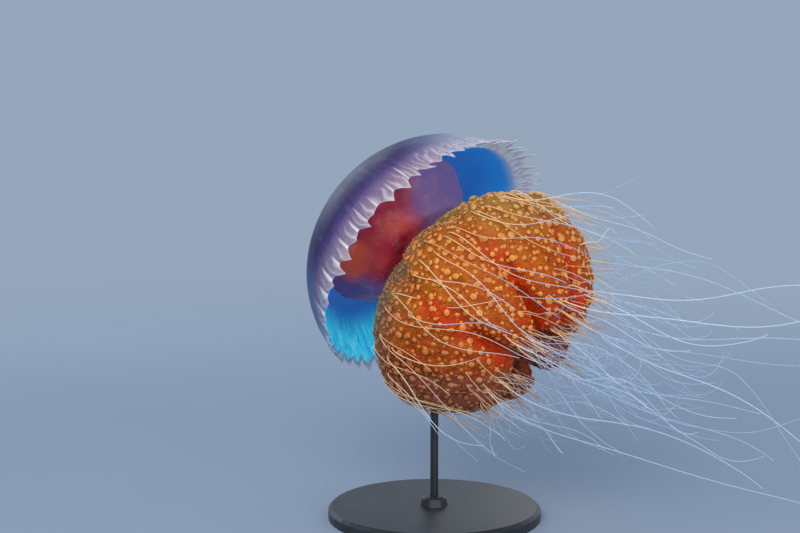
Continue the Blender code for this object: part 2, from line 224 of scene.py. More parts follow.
class Finish:
    """A material, and the tools that build its nodes.  Colours are display colours from 0 to 255."""

    def __init__(self, name):
        self.material = bpy.data.materials.new(name)
        self.material.use_nodes = True
        self.tree = self.material.node_tree
        self.tree.nodes.clear()

    def node(self, kind, settings=None, inputs=None, output=0):
        """Adds a node: its settings first, then its sockets' values or links."""
        made = self.tree.nodes.new(kind)
        for name, value in (settings or {}).items():
            if name == "stops":
                self.set_stops(made.color_ramp, value)
            else:
                setattr(made, name, value)
        for name, value in (inputs or {}).items():
            if isinstance(value, Signal):
                self.tree.links.new(value.socket, made.inputs[name])
            else:
                made.inputs[name].default_value = paint(*value) if isinstance(value, tuple) else value
        return Signal(self, made.outputs[output])

    @staticmethod
    def set_stops(ramp, stops):
        while len(ramp.elements) < len(stops):
            ramp.elements.new(0.5)
        for element, (position, colour) in zip(ramp.elements, stops):
            element.position = position
            element.color = paint(*colour)

    def maths(self, operation, first, second):
        return self.node("ShaderNodeMath", {"operation": operation}, {0: first, 1: second})

    def traits(self, names):
        """Values that the mesh carries at each point."""
        return [self.node("ShaderNodeAttribute", {"attribute_name": name}, output="Fac")
                for name in names.split()]

    def place(self):
        return self.node("ShaderNodeTexCoord", output="Object")

    def cloud(self, scale, detail=3.0, roughness=0.5, distortion=0.0, place=None):
        return self.node("ShaderNodeTexNoise", inputs={
            "Vector": place or self.place(), "Scale": scale, "Detail": detail, "Roughness": roughness,
            "Distortion": distortion})

    def cells(self, scale):
        return self.node("ShaderNodeTexVoronoi", {"feature": "SMOOTH_F1"}, {
            "Vector": self.place(), "Scale": scale, "Smoothness": 0.6}, output="Distance")

    def rise(self, value, low, high):
        """0 below low and 1 above high, with a soft step between them."""
        return self.node("ShaderNodeMapRange", {"interpolation_type": "SMOOTHSTEP"}, {
            "Value": value, "From Min": low, "From Max": high, "To Min": 0.0, "To Max": 1.0})

    def fall(self, value, low, high):
        """1 below low and 0 above high."""
        return 1.0 - self.rise(value, low, high)

    def ramp(self, value, stops):
        return self.node("ShaderNodeValToRGB", {"stops": stops}, {"Fac": value}, output="Color")

    def mix(self, share, colour, other):
        return self.node("ShaderNodeMix", {"data_type": "RGBA"}, {0: share, 6: colour, 7: other}, output=2)

    def coats(self, colour, *coats):
        """The colour with coats laid over it in turn, each of them a share and a colour."""
        for share, other in coats:
            colour = self.mix(share, colour, other)
        return colour

    def bump(self, height, strength, distance):
        return self.node("ShaderNodeBump", inputs={
            "Height": height, "Strength": strength, "Distance": distance})

    def close(self, **inputs):
        """Ends the material in a Principled shader with these sockets."""
        named = {name.replace("_", " "): value for name, value in inputs.items()}
        shader = self.node("ShaderNodeBsdfPrincipled", inputs=named)
        out = self.tree.nodes.new("ShaderNodeOutputMaterial")
        self.tree.links.new(shader.socket, out.inputs["Surface"])
        return self.material


# ------------ mesh tools

def mesh_object(name, points, *blocks):
    """A smooth mesh from an array of points and arrays of faces, one for each number of corners."""
    corners = np.concatenate([block.ravel() for block in blocks]).astype(np.int32)
    sides = np.concatenate([np.full(len(block), block.shape[1]) for block in blocks])
    mesh = bpy.data.meshes.new(name)
    mesh.vertices.add(len(points))
    mesh.vertices.foreach_set("co", np.asarray(points, np.float32).ravel())
    mesh.loops.add(len(corners))
    mesh.loops.foreach_set("vertex_index", corners)
    mesh.polygons.add(len(sides))
    mesh.polygons.foreach_set("loop_start", (np.cumsum(sides) - sides).astype(np.int32))
    mesh.update(calc_edges=True)
    mesh.validate()
    mesh.shade_smooth()
    return link_object(name, mesh)


def link_object(name, data):
    obj = bpy.data.objects.new(name, data)
    bpy.context.scene.collection.objects.link(obj)
    return obj


def set_traits(mesh, **traits):
    """Gives the mesh values at each point, for its finish to read."""
    for name, values in traits.items():
        attribute = mesh.attributes.new(name, "FLOAT", "POINT")
        attribute.data.foreach_set("value", np.asarray(values, np.float32).ravel())


def set_bake_map(mesh, uv):
    """Gives the mesh its bake map from one (u, v) place for each point."""
    layer = mesh.uv_layers.new(name=UV_BAKE)
    corners = read(mesh.loops, "vertex_index", 1, np.int32)
    layer.data.foreach_set("uv", np.asarray(uv, np.float32)[corners[:, 0]].ravel())


def read(items, name, width, kind=np.float32):
    """A property of each item of a mesh, as one row for each item."""
    values = np.empty(len(items) * width, kind)
    items.foreach_get(name, values)
    return values.reshape(-1, width)


def points_of(mesh):
    return read(mesh.vertices, "co", 3).astype(float)


def normals_of(mesh):
    return read(mesh.vertex_normals, "vector", 3).astype(float)


def move_points(mesh, points):
    mesh.vertices.foreach_set("co", points.astype(np.float32).ravel())
    mesh.update()
    mesh.shade_smooth()


def remeshed(obj, voxel, easing):
    """Makes the mesh one even skin and eases it: (mesh, points, normals, points in the body frame)."""
    remesh = obj.modifiers.new("skin", "REMESH")
    remesh.mode = "VOXEL"
    remesh.voxel_size = voxel
    ease = obj.modifiers.new("ease", "SMOOTH")
    ease.factor = 0.5
    ease.iterations = easing
    graph = bpy.context.evaluated_depsgraph_get()
    mesh = bpy.data.meshes.new_from_object(obj.evaluated_get(graph))
    old = obj.data
    obj.modifiers.clear()
    obj.data = mesh
    bpy.data.meshes.remove(old)
    mesh.name = obj.name
    points = points_of(mesh)
    return mesh, points, normals_of(mesh), transform(points, TO_BODY)


def eased_normals(mesh, rounds):
    """The normals averaged over their neighbourhood, so that small frills don't tilt what grows there."""
    first, second = read(mesh.edges, "vertices", 2, np.int32).T
    eased = normals_of(mesh)
    size = len(eased)
    for _ in range(rounds):
        total = eased.copy()
        for axis in range(3):
            total[:, axis] += np.bincount(first, eased[second, axis], size)
            total[:, axis] += np.bincount(second, eased[first, axis], size)
        eased = total / np.linalg.norm(total, axis=1)[:, None]
    return eased


def transform(points, matrix):
    m = np.array(matrix, float)
    return points @ m[:3, :3].T + m[:3, 3]


def polar(radius, azimuth, height):
    return np.stack([radius * np.cos(azimuth), radius * np.sin(azimuth), height], axis=-1)


def wave(points, scale, octaves=1, seed=0.0):
    """Smooth noise from about -1 to 1 at each point."""
    shift = Vector((seed, seed * 0.7, -seed))
    return np.array([noise.fractal(Vector(p) * scale + shift, 1.0, 2.0, octaves) for p in points])


def soft_step(values, low, high):
    t = np.clip((values - low) / (high - low), 0.0, 1.0)
    return t * t * (3 - 2 * t)


def round_turns(steps):
    return 2 * pi * np.arange(steps) / steps


def azimuth_of(local):
    return np.arctan2(local[:, 1], local[:, 0])


def arm_share(local):
    return -local[:, 2] / ARM_LENGTH


def grid_faces(rows, columns):
    """Quads of a grid of points kept row by row, closed round its columns."""
    i, j = np.meshgrid(np.arange(rows - 1), np.arange(columns), indexing="ij")
    k = (j + 1) % columns
    quads = np.stack([i * columns + j, i * columns + k, (i + 1) * columns + k, (i + 1) * columns + j], -1)
    return quads.reshape(-1, 4)


def fan_faces(pole, ring, inwards=False):
    """Triangles from a pole to each pair of neighbours in a ring of points."""
    following = np.roll(ring, -1)
    pair = [following, ring] if inwards else [ring, following]
    return np.stack([np.full(len(ring), pole), *pair], -1)


# ------------ bell

def bell_radius(height):
    return BELL_RADIUS * np.sqrt(np.maximum(1.0 - (height / BELL_HEIGHT) ** 2, 0.0))


def lappet_flare(azimuth):
    side = np.maximum(np.cos(azimuth - FLARE_SIDE_AZIMUTH), 0.0) ** 2
    return FLARE_MEAN - FLARE_FRONT_TO_BACK * np.cos(azimuth) + FLARE_SIDE * side


def lappet_edges(settings, rng):
    """The azimuth at which each lappet begins: wide ones on one side, narrow ones across from it."""
    middles = 2 * pi * (np.arange(LAPPETS) + 0.5) / LAPPETS
    widths = 1 + WIDE_LAPPETS_GAIN * np.cos(middles - WIDE_LAPPETS_AT)
    widths *= rng.uniform(1 - settings.width_spread, 1 + settings.width_spread, LAPPETS)
    return 2 * pi * np.append(0.0, np.cumsum(widths) / widths.sum())


def lappet_lengths(settings, rng):
    """How far each lappet reaches, as a share of the longest; here and there a short one lies between."""
    lengths = rng.uniform(0.78, 1.0, LAPPETS)
    short = rng.random(LAPPETS) < settings.short_lappets
    lengths[short] = rng.uniform(0.35, 0.6, short.sum())
    return lengths


def build_bell(settings):
    """The whole bell in one skin: outer side, lappets, lip and lining, in rows from pole to pole."""
    rng = np.random.default_rng(settings.seed)
    columns = LAPPETS * COLUMNS_PER_LAPPET
    column = np.arange(columns)
    number = column // COLUMNS_PER_LAPPET
    across = (column % COLUMNS_PER_LAPPET) / COLUMNS_PER_LAPPET

    def from_clefts(values):
        """A value given at each cleft, carried evenly across the lappets."""
        return values[number] * (1 - across) + values[(number + 1) % LAPPETS] * across

    edges = lappet_edges(settings, rng)
    azimuth = edges[number] * (1 - across) + edges[number + 1] * across
    lengths = lappet_lengths(settings, rng)[number]
    curls = rng.uniform(-1.0, 1.0, LAPPETS)[number]
    leans = rng.normal(0.6, 0.5, LAPPETS)[number]
    pointed = across ** rng.uniform(0.62, 1.25, LAPPETS)[number]
    cleft = from_clefts(rng.uniform(0.8, 1.0, LAPPETS))
    furrow_end = from_clefts(rng.uniform(0.022, 0.046, LAPPETS))
    tooth = (1 - np.abs(2 * pointed - 1)) ** 1.3
    lip = (LAPPET_ROOT - CLEFT_DEPTH) * np.clip(cleft * (1 - tooth) + (1 - lengths) * tooth, 0.0, 1.0)
    crest = np.sin(pi * pointed)
    flare = lappet_flare(azimuth)
    # lap: where each lappet's edges get a painted highlight, strong near one edge and weaker near the other
    lap = np.exp(-((across - 0.9) / 0.085) ** 2) + 0.6 * np.exp(-((across - 0.12) / 0.07) ** 2)
    none = np.zeros(columns)
    rim_noise = wave(polar(np.full(columns, 0.1), azimuth, none), 55.0, 2, 2.0)

    def wrinkles(height):
        """Fine upright folds near the rim, bent and uneven, from 0 to 1."""
        bend = wave(polar(np.full(columns, 0.1), azimuth, height * 1.6), 38.0, 2, 5.0)
        phase = 2 * pi * (2.0 * across + 0.9 * bend) + 70.0 * height * (1 + rim_noise)
        return (0.5 + 0.5 * np.cos(phase)) ** 2.2

    def furrowed(height, radius, folds):
        """Adds the radial furrows, which run up from the clefts and fade, and the fine folds."""
        fade = (1 - soft_step(height, furrow_end * 0.35, furrow_end)) * soft_step(height, -0.004, 0.006)
        deep = settings.furrow_depth * (crest ** 0.6 - 0.75) + settings.fold_depth * (folds - 0.4)
        return radius + fade * deep

    rows = []    # radius, azimuth, height, folds and share of the lappet's length, for each row
    turn_end = acos(LAPPET_ROOT / BELL_HEIGHT)
    for k in range(1, CROWN_ROWS + 1):
        turn = turn_end * (k / CROWN_ROWS) ** 0.72
        height = np.full(columns, BELL_HEIGHT * cos(turn))
        folds = wrinkles(height) if height[0] < FOLDS_END else none
        rows.append((furrowed(height, BELL_RADIUS * sin(turn), folds), azimuth, height, folds, 0.0))
    for k in range(1, LAPPET_ROWS + 1):
        share = k / LAPPET_ROWS
        height = LAPPET_ROOT * (1 - share) + lip * share
        reach = share * tooth * lengths
        folds = wrinkles(height)
        radius = bell_radius(LAPPET_ROOT) + flare * (1.0 - height / LAPPET_ROOT)
        radius += settings.lappet_curl * curls * reach ** 2
        radius += settings.lappet_puff * crest * np.sin(pi * min(share, 0.85))
        lean = settings.lappet_lean * leans * reach ** 1.6 / BELL_RADIUS
        rows.append((furrowed(height, radius, folds), azimuth + lean, height, folds, share))
    outer_count = len(rows) * columns
    for radius, angle, height, folds, share in rows[:-LAPPET_ROWS - 1:-1]:
        thickness = LIP_THICKNESS + (BELL_RADIUS - CAVITY_RADIUS) * (1 - share) ** 1.5
        rows.append((radius - thickness, angle, height, folds, share))
    cavity_end = acos(LAPPET_ROOT / CAVITY_HEIGHT)
    for k in range(LINING_ROWS):
        turn = cavity_end * (1 - k / LINING_ROWS) ** 1.1
        height = np.full(columns, CAVITY_HEIGHT * cos(turn))
        rows.append((np.full(columns, CAVITY_RADIUS * sin(turn)), azimuth, height, none, 0.0))

    poles = [(0, 0, BELL_HEIGHT), (0, 0, CAVITY_HEIGHT)]
    points = np.concatenate([polar(*row[:3]) for row in rows] + [poles])
    top, bottom = len(points) - 2, len(points) - 1
    obj = mesh_object(
        "bell_skin", transform(points, BODY), grid_faces(len(rows), columns)[:, ::-1],
        np.concatenate([fan_faces(top, column), fan_faces(bottom, top - columns + column, inwards=True)]))
    fades = [1 - soft_step(row[2], furrow_end * 0.3, furrow_end) for row in rows]
    turned = azimuth_of(points)
    # lap and fold carry where the finish paints highlights on the lappet edges and fold crests, and shade in
    # the creases
    set_traits(
        obj.data, height=points[:, 2] / BELL_HEIGHT, front=np.cos(turned), side=np.sin(turned),
        inside=np.concatenate([np.zeros(outer_count), np.ones(top - outer_count), [0, 1]]),
        lap=np.concatenate([lap * fade for fade in fades] + [[0, 0]]),
        fold=np.concatenate([row[3] * fade for row, fade in zip(rows, fades)] + [[0, 0]]),
        tip=np.concatenate([np.full(columns, row[4] ** 2) for row in rows] + [[0, 0]]))
    return obj


def bell_finish(settings):
    """Clear blue and violet jelly, a lilac-grey margin with pale folds, and a blue lining; painted shade in
    the creases, painted highlights on the fold crests and lappet edges, and a painted glow in the lining and
    under the lappet tips.
    """
    f = Finish("bell_jelly")
    height, inside, tip, front, side, fold, lap = f.traits("height inside tip front side fold lap")
    around = f.node("ShaderNodeCombineXYZ", inputs={"X": front, "Y": side, "Z": height * 0.35})
    drift = f.cloud(26.0) - 0.5
    level = height + 0.06 * drift
    violet = f.ramp(level, (
        (0.0, (182, 154, 162)), (0.14, (160, 130, 144)), (0.24, (124, 98, 130)), (0.33, (70, 48, 106)),
        (0.42, (36, 22, 84)), (0.6, (24, 16, 72)), (0.78, (26, 22, 88)), (1.0, (36, 44, 116))))
    blue = f.ramp(level, (
        (0.0, (140, 168, 188)), (0.16, (124, 152, 180)), (0.26, (86, 132, 178)),
        (0.6, (70, 118, 166)), (1.0, (92, 124, 162))))
    pale = f.ramp(level, (
        (0.0, (190, 198, 206)), (0.2, (190, 198, 208)), (0.36, (148, 162, 186)),
        (0.6, (66, 74, 136)), (1.0, (54, 62, 130))))
    flank = f.fall(height + 0.08 * drift, 0.7, 0.97)
    back = f.rise(-front, 0.0, 0.8)
    rays = f.cloud(17.0, 4.0, 0.6, place=around)
    rayed = (0.12 + 0.88 * back) * f.fall(height, 0.84, 0.98) * f.rise(height, 0.1, 0.3)
    combed = f.cloud(62.0, 3.0, 0.6, place=around)
    near_rim = f.fall(height + 0.1 * drift, 0.2, 0.42)
    edge_highlight = f.rise(lap, 0.3, 0.95)
    skin = f.coats(
        violet,
        (flank * f.rise(-side + 0.25 * drift, 0.5, 0.98), blue),
        (flank * f.rise(side + 0.25 * drift, 0.5, 1.0), pale),
        # the back, its rays and flecks
        (0.25 * back, (84, 76, 144)),
        (0.55 * rayed * f.rise(rays, 0.5, 0.68), (150, 140, 192)),
        (0.45 * rayed * f.fall(rays, 0.34, 0.48), (30, 22, 82)),
        (0.45 * back * f.rise(f.cloud(330.0, 2.0), 0.6, 0.7), (186, 182, 214)),
        # painted shade in the creases near the rim, pale fold crests that are partly painted highlight, a
        # thin veil, the lappets' edges with a painted highlight, and their tips
        (0.55 * near_rim * f.fall(fold, 0.02, 0.3) * f.rise(combed, 0.44, 0.6), (98, 98, 126)),
        (0.58 * f.rise(fold, 0.35, 0.95), (206, 196, 204)),
        (0.1 * f.rise(f.cloud(75.0, 5.0, 0.65), 0.48, 0.72), (140, 142, 196)),
        (0.8 * edge_highlight, (224, 218, 224)),
        (0.35 * f.rise(tip, 0.35, 1.0), (206, 206, 220)))
    veins = f.cloud(24.0, 4.0, 0.62, 0.8, around)
    wisps = f.rise(-side, -0.2, 0.5) * f.fall(height, 0.25, 0.5)
    rim = f.fall(height + 0.1 * drift, 0.1, 0.26) * f.rise(side, -0.2, 0.6)
    lining = f.coats(
        (48, 196, 232),
        (f.rise(side + 0.3 * drift, -0.5, 0.3), settings.lining_colour),
        (f.rise(height + 0.2 * drift, 0.26, 0.5), (30, 100, 182)),
        (f.rise(height, 0.52, 0.72), (62, 74, 148)),
        # pale and dark wisps on the low side, eddies, and the rim on the high side
        (0.6 * wisps * f.rise(veins, 0.5, 0.68), (130, 226, 242)),
        (0.55 * wisps * f.fall(veins, 0.34, 0.5), (24, 112, 190)),
        (0.15 * f.rise(f.cloud(60.0, 4.0, 0.6), 0.5, 0.62), (20, 84, 168)),
        (rim, (160, 168, 180)),
        (0.65 * rim * f.rise(combed, 0.47, 0.6), (112, 108, 124)))
    inner = inside * f.fall(tip, 0.02, 0.3)
    # painted light: the lining glows in its own colours, brightest on its turquoise low side, and the inner
    # faces of the lappet tips glow pale; both stand in for light coming through the bell
    glow = f.coats((0, 0, 0), (inner, lining), (0.5 * inside * f.rise(tip, 0.1, 0.7), (160, 166, 184)))
    band = f.rise(height, 0.22, 0.34) * f.fall(height, 0.5, 0.75)
    clear = 0.88 + 0.08 * band + (0.1 * edge_highlight - 0.2 * f.rise(-side, 0.55, 0.95)) * (1.0 - band)
    grain = f.cloud(700.0) * 0.4 + f.cloud(220.0) * 0.6
    return f.close(
        Base_Color=f.mix(inner, skin, lining), Roughness=f.cloud(90.0) * 0.15 + 0.38,
        Alpha=clear + inner * (0.82 - clear), Normal=f.bump(grain, 0.25, 0.0005), IOR=1.36,
        Specular_IOR_Level=0.22, Emission_Color=glow, Emission_Strength=0.6)


# ------------ stomach

def build_stomach(settings):
    """The purse under the bell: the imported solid, made finer, with a few soft folds."""
    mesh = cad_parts["stomach"].data.copy()
    mesh.materials.clear()
    obj = link_object("stomach_purse", mesh)
    mesh, points, normals, local = remeshed(obj, settings.stomach_voxel, 14)
    azimuth, height = azimuth_of(local), local[:, 2]
    low = 1 - soft_step(height, 0.03, 0.05)
    folds = np.sin(7 * azimuth + 2.5 * wave(local, 30.0)) * settings.pleat_depth * low
    lumps = wave(local, 38.0, 3, 4.0) * settings.stomach_lumps * low
    points += normals * (folds + lumps - settings.pleat_depth - settings.stomach_lumps)[:, None]
    points -= 0.0025 * (1 - soft_step(height, 0.012, 0.024))[:, None] * np.array(APEX)
    move_points(mesh, points)
    set_traits(mesh, height=height / CAVITY_HEIGHT, side=np.sin(azimuth))
    return obj


def stomach_finish(settings):
    """Crimson wet tissue, orange-red in patches, and violet towards the upper side; it glows faintly in its
    own colours, which is painted light.
    """
    f = Finish("stomach_wine")
    height, side = f.traits("height side")
    clouds, fine = f.cloud(34.0), f.cloud(160.0)
    drift = clouds - 0.5
    violet = f.rise(side + 0.5 * drift, 0.3, 0.75)
    warm = f.rise(f.cloud(22.0, 2.0), 0.48, 0.62) * f.rise(height, 0.22, 0.42) * (1.0 - violet)
    colour = f.coats(
        f.ramp(clouds, ((0.3, (122, 14, 44)), (0.5, (164, 34, 52)), (0.72, (196, 74, 66)))),
        (0.9 * violet, (122, 104, 154)),
        (0.8 * f.rise(-side + 0.3 * drift, 0.7, 0.95), (62, 76, 138)),
        (0.8 * warm, settings.stomach_warm),
        (0.26 * f.rise(f.cloud(95.0, 5.0, 0.65), 0.5, 0.68), (200, 130, 132)))
    # painted light: the stomach glows faintly in its own colours, lifting the shade inside the bell
    return f.close(
        Base_Color=colour, Roughness=fine * 0.25 + 0.34, Normal=f.bump(fine, 0.35, 0.001),
        Subsurface_Weight=0.25, Subsurface_Scale=0.008, Specular_IOR_Level=0.35,
        Emission_Color=colour, Emission_Strength=0.22)


# ------------ oral arms

def heart_radius(share, azimuth):
    """The body that the lobes grow from: nearly as wide as they are above, narrow below.

    It reaches further down between the first two lobes, which part last."""
    away = (azimuth - GROOVES[1] + pi) % (2 * pi) - pi
    held = share - HEART_HOLD * np.exp(-(away / HEART_HOLD_WIDTH) ** 2)
    outer = np.interp(share, [s for s, _ in ARM_PROFILE], [r for _, r in ARM_PROFILE])
    return outer * np.interp(held, [s for s, _ in HEART_SHARES], [r for _, r in HEART_SHARES])


def add_heart(mesh_data):
    """A turned body along the axis that joins the lobes and fills the grooves between their upper halves."""
    depth, turn = np.meshgrid(np.linspace(HEART_TOP, HEART_END, HEART_RINGS), round_turns(HEART_SEGMENTS),
                              indexing="ij")
    rings = polar(heart_radius(depth / ARM_LENGTH, turn), turn, -depth).reshape(-1, 3)
    verts = [mesh_data.verts.new(p) for p in rings]
    for quad in grid_faces(HEART_RINGS, HEART_SEGMENTS):
        mesh_data.faces.new([verts[i] for i in quad[[0, 3, 2, 1]]])
    mesh_data.faces.new(verts[:HEART_SEGMENTS])
    mesh_data.faces.new(verts[-HEART_SEGMENTS:][::-1])


def build_arms(settings):
    """All eight arms in one skin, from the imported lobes: joined, drawn in by the coat, then frilled."""
    mesh_data = bmesh.new()
    for name in ARM_NODES:
        mesh_data.from_mesh(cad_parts[name].data)
    bmesh.ops.transform(mesh_data, matrix=TO_BODY, verts=mesh_data.verts)
    add_heart(mesh_data)
    bmesh.ops.transform(mesh_data, matrix=BODY, verts=mesh_data.verts)
    mesh = bpy.data.meshes.new("arms_skin")
    mesh_data.to_mesh(mesh)
    mesh_data.free()
    obj = link_object("arms_skin", mesh)
    mesh, points, normals, local = remeshed(obj, SKIN_VOXEL, 8)
    clumps = wave(points, 95.0, 2, 3.0)
    frills = 1 - np.abs(wave(points, 230.0, 2, 9.0)) * 2.2
    shoulders = 1 - soft_step(arm_share(local), 0.05, 0.3)
    rise = settings.clump_height * clumps + settings.frill_height * frills - COAT_DEPTH
    rise = rise - SHOULDER_DRAW * shoulders - settings.valley_depth * valley_nearness(local)
    points += normals * rise[:, None]
    move_points(mesh, points)
    set_arm_traits(mesh, transform(points, TO_BODY))
    set_traits(mesh, clump=clumps)
    return obj


def groove_distance(local):
    """How far round the axis the nearest groove between two arms lies."""
    gaps = [np.abs((azimuth_of(local) - g + pi) % (2 * pi) - pi) for g in GROOVES]
    return np.min(gaps, axis=0) * np.hypot(local[:, 0], local[:, 1])


def valley_nearness(local):
    """1 in the shallow valleys that part the arms' upper halves, 0 on their crests and further down."""
    share = arm_share(local)
    upper = soft_step(share, -0.02, 0.14) * (1 - soft_step(share, 0.42, 0.62))
    return upper * np.exp(-(groove_distance(local) / VALLEY_WIDTH) ** 2)


def groove_nearness(local):
    """1 at the bottom of a groove between two arms' lower halves, falling to 0 on their crests."""
    away = groove_distance(local)
    low = soft_step(arm_share(local), 0.3, 0.62)
    deep = 1 - soft_step(np.hypot(local[:, 0], local[:, 1]), 0.045, 0.078)
    return low * np.maximum(np.exp(-(away / GROOVE_WIDTH) ** 2), deep * np.exp(-(away / HOLLOW_WIDTH) ** 2))


def set_arm_traits(mesh, local):
    azimuth = azimuth_of(local)
    set_traits(mesh, share=arm_share(local), groove=groove_nearness(local), valley=valley_nearness(local),
               front=np.cos(azimuth), side=np.sin(azimuth))


def underside(f, share, low_side):
    """1 where the arms face the floor, further round the nearer their ends are; a painted fill light goes
    there.
    """
    return f.rise(low_side + 0.6 * (share - 0.5), 0.76, 0.96) * f.rise(share, 0.2, 0.5)


def arm_colour(f):
    """The colour of the arms at each place; the skin and all that grows on it share it.  Besides the tissue's
    own colours it holds painted shade and light, laid on by side.
    """
    share, groove, valley, front, side = f.traits("share groove valley front side")
    drift = f.cloud(55.0) - 0.5
    return f.coats(
        f.ramp(share + 0.3 * drift, (
            (0.0, (128, 108, 88)), (0.16, (144, 102, 60)), (0.34, (164, 94, 12)),
            (0.55, (176, 90, 4)), (0.8, (174, 76, 4)), (1.0, (154, 58, 6)))),
        # mottling and ruddy patches
        (0.55 * f.rise(f.cloud(150.0, 3.0, 0.6), 0.46, 0.64) * f.rise(share, 0.02, 0.3), (180, 70, 2)),
        (0.55 * f.rise(f.cloud(30.0, 2.0), 0.52, 0.66) * f.rise(share, 0.25, 0.6), (170, 48, 14)),
        # painted shade, deep red, in the grooves and in the valleys between the arms
        (0.88 * f.rise(groove + 0.5 * drift, 0.22, 0.7), (176, 40, 2)),
        (0.5 * f.rise(valley + 0.5 * drift, 0.3, 0.9) * f.rise(share, 0.05, 0.35), (150, 46, 6)),
        # painted shade: olive-grey shoulders on the low side; painted light: golden shoulders on the high
        # side
        (0.92 * f.rise(-side + 0.4 * drift, 0.08, 0.62) * f.fall(share, 0.14, 0.52), (98, 94, 80)),
        (0.75 * f.rise(side + 0.4 * drift, 0.3, 0.85) * f.fall(share, 0.35, 0.75), (148, 122, 60)),
        # painted shade on the low side, painted fill light on the underside, and painted shade on the far
        # side
        (0.8 * f.rise(-side + 0.6 * drift, 0.25, 0.85) * f.rise(share, 0.22, 0.5), (120, 24, 8)),
        (0.62 * underside(f, share, -side + 0.2 * drift), (154, 96, 70)),
        (0.55 * f.rise(-front - 0.25 * side + 0.3 * drift, 0.2, 0.85) * f.rise(share, 0.15, 0.5),
         (104, 44, 34)))


def arms_finish(settings):
    """Amber, orange and red tissue, wet and finely granular, with a painted glow in the grooves on the front.
    """
    f = Finish("arm_frill")
    groove, clump, front, side = f.traits("groove clump front side")
    fine = f.cloud(420.0)
    colour = f.coats(
        arm_colour(f),
        # darker red in the hollows between the clumps: painted shade
        (0.45 * f.fall(clump, -0.7, 0.2), (146, 50, 12)),
        (0.3 * f.rise(fine, 0.52, 0.66), (204, 132, 52)))
    # painted light: the grooves on the front glow orange through emission, standing in for light through
    # their walls and lifting their shade
    facing = f.fall(-front - 0.25 * side, -0.2, 0.5)
    glow = f.mix(facing * f.rise(groove, 0.2, 0.9), (0, 0, 0), settings.groove_painted_glow)
    grain = f.cells(620.0) * 0.7 + fine * 0.5
    return f.close(
        Base_Color=colour, Roughness=fine * 0.3 + 0.4, Normal=f.bump(grain, 0.6, 0.0012),
        Subsurface_Weight=0.06, Subsurface_Scale=0.003, Specular_IOR_Level=0.14,
        Emission_Color=glow, Emission_Strength=0.11)


# ------------ knobs and granules

def scatter(obj, wanted, spacing, rng, keep):
    """Places on the mesh at least spacing apart: (points, normals).  keep says how likely each stays."""
    mesh = obj.data
    mesh.calc_loop_triangles()
    corners = read(mesh.loop_triangles, "vertices", 3, np.int32)
    points, normals = points_of(mesh), eased_normals(mesh, 8)
    a, b, c = (points[corners[:, k]] for k in range(3))
    area = np.linalg.norm(np.cross(b - a, c - a), axis=1)
    picked = rng.choice(len(corners), wanted * 6, p=area / area.sum())
    u, v = rng.random(len(picked)), rng.random(len(picked))
    flip = u + v > 1
    u[flip], v[flip] = 1 - u[flip], 1 - v[flip]
    places = a[picked] + u[:, None] * (b - a)[picked] + v[:, None] * (c - a)[picked]
    outward = normals[corners[picked, 0]]
    lucky = np.flatnonzero(rng.random(len(places)) < keep(places, outward))
    tree = KDTree(len(lucky))
    for i in lucky:
        tree.insert(places[i], i)
    tree.balance()
    free, chosen = np.ones(len(places), bool), []
    for i in lucky:
        if free[i] and len(chosen) < wanted:
            chosen.append(i)
            free[[j for _, j, _ in tree.find_range(places[i], spacing)]] = False
    return places[chosen], outward[chosen]


def bead_template(segments, rings):
    """A rounded bead: (points, triangles), its pole upwards."""
    tilts = pi * np.arange(1, rings + 1) / (rings + 1)
    tilt, turn = np.meshgrid(tilts, round_turns(segments), indexing="ij")
    points = np.concatenate([polar(np.sin(tilt), turn, np.cos(tilt)).reshape(-1, 3), [(0, 0, 1), (0, 0, -1)]])
    quads = grid_faces(rings, segments)
    ring, last = np.arange(segments), (rings - 1) * segments
    return points, np.concatenate([
        quads[:, [0, 2, 1]], quads[:, [0, 3, 2]], fan_faces(len(points) - 2, ring),
        fan_faces(len(points) - 1, last + ring, inwards=True)])


def unwrap_place(points):
    """Where a place on the arms lies on their unrolled skin, from 0 to 1 each way."""
    along = np.clip(0.08 - points[:, 2] / (ARM_LENGTH * 1.15), 0.0, 1.0)
    return np.stack([azimuth_of(points) / (2 * pi) + 0.5, along], -1) * 0.98 + 0.01


def sprout(name, places, outward, sizes, rng, grid, height, lift):
    """Rounded buds on the skin, all in one mesh, each with its own patch of the bake map."""
    ball, ball_faces = bead_template(*grid)
    wanted = len(places)
    helper = np.where(np.abs(outward[:, 2:3]) < 0.9, [[0.0, 0.0, 1.0]], [[1.0, 0.0, 0.0]])
    first = np.cross(outward, helper)
    first /= np.linalg.norm(first, axis=1)[:, None]
    second = np.cross(outward, first)
    stretch = rng.uniform(0.88, 1.12, (wanted, 1))
    along = (ball[None, :, 0] * stretch)[..., None] * first[:, None]
    beside = (ball[None, :, 1] / stretch)[..., None] * second[:, None]
    above = (ball[None, :, 2] * height + lift)[..., None] * outward[:, None]
    points = places[:, None] + (along + beside + above) * sizes[:, None, None]
    faces = ball_faces[None] + (np.arange(wanted) * len(ball))[:, None, None]
    obj = mesh_object(name, points.reshape(-1, 3), faces.reshape(-1, 3))
    roots = transform(places, TO_BODY)
    set_arm_traits(obj.data, np.repeat(roots, len(ball), axis=0))
    set_traits(obj.data, crown=np.tile(ball[:, 2], wanted), tint=np.repeat(rng.random(wanted), len(ball)))
    uv = np.repeat(unwrap_place(roots), len(ball), axis=0)
    set_bake_map(obj.data, uv + np.tile(ball[:, :2] * PATCH / 2, (wanted, 1)))
    return obj


def exposure(tree, places, outward, reach):
    """1 where nothing stands close above a place, 0 where another lobe covers it."""
    return np.array([
        float(tree.ray_cast(Vector(p) + Vector(n) * COVER_GAP, Vector(n), reach)[0] is None)
        for p, n in zip(places, outward)])


